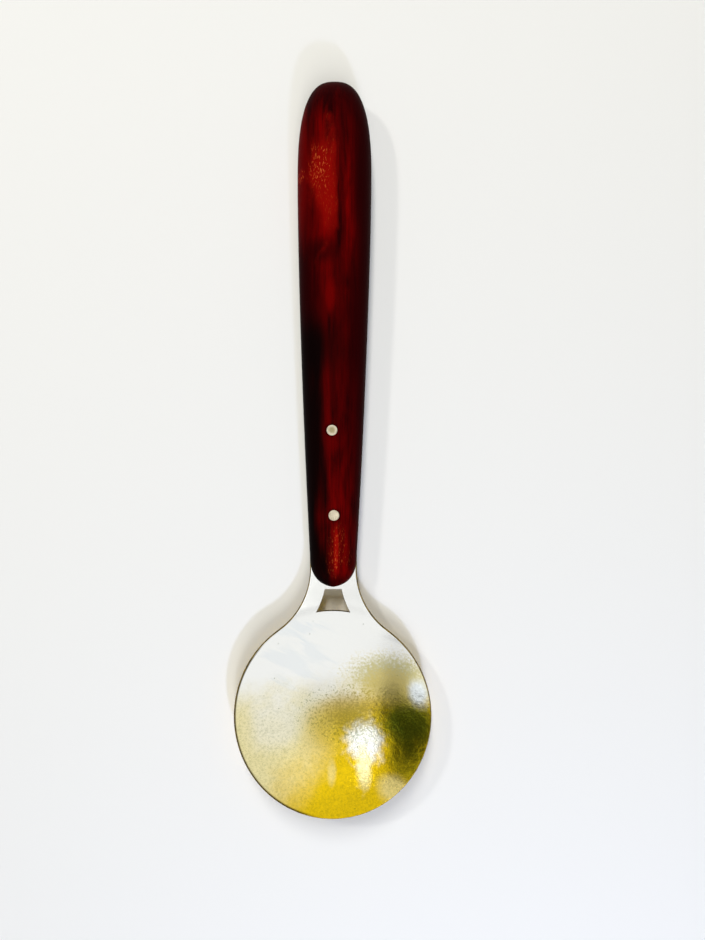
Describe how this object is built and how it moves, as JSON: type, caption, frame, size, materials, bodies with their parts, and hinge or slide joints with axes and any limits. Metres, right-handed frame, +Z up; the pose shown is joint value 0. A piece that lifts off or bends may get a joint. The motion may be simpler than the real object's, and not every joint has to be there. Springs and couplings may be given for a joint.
{
  "type": "coffee spoon",
  "caption": "Shallow round-bowled metal spoon with a forked, windowed neck, and a tapered wooden handle riveted on its tang, for serving or measuring coffee.",
  "frame": {"origin": "on the plane that the spoon lies on, under the middle of its bounding box", "axes": "+Y along the spoon from the bowl to the butt of the handle, +Z up out of the bowl, +X to the right seen from the bowl's end"},
  "size_m": [0.045, 0.1664, 0.0122],
  "materials": {
    "blade_metal": "polished pale white-metal plate, worn to yellow brass towards the tip of the bowl",
    "handle_wood": "dark red hardwood, oiled and hand rubbed",
    "rivet_metal": "pale nickel brass, hammered and filed flush"
  },
  "bodies": {
    "root": {"spoon_blade": "blade_metal", "handle": "handle_wood", "front_rivet": "rivet_metal", "rear_rivet": "rivet_metal"}
  },
  "joints": []
}
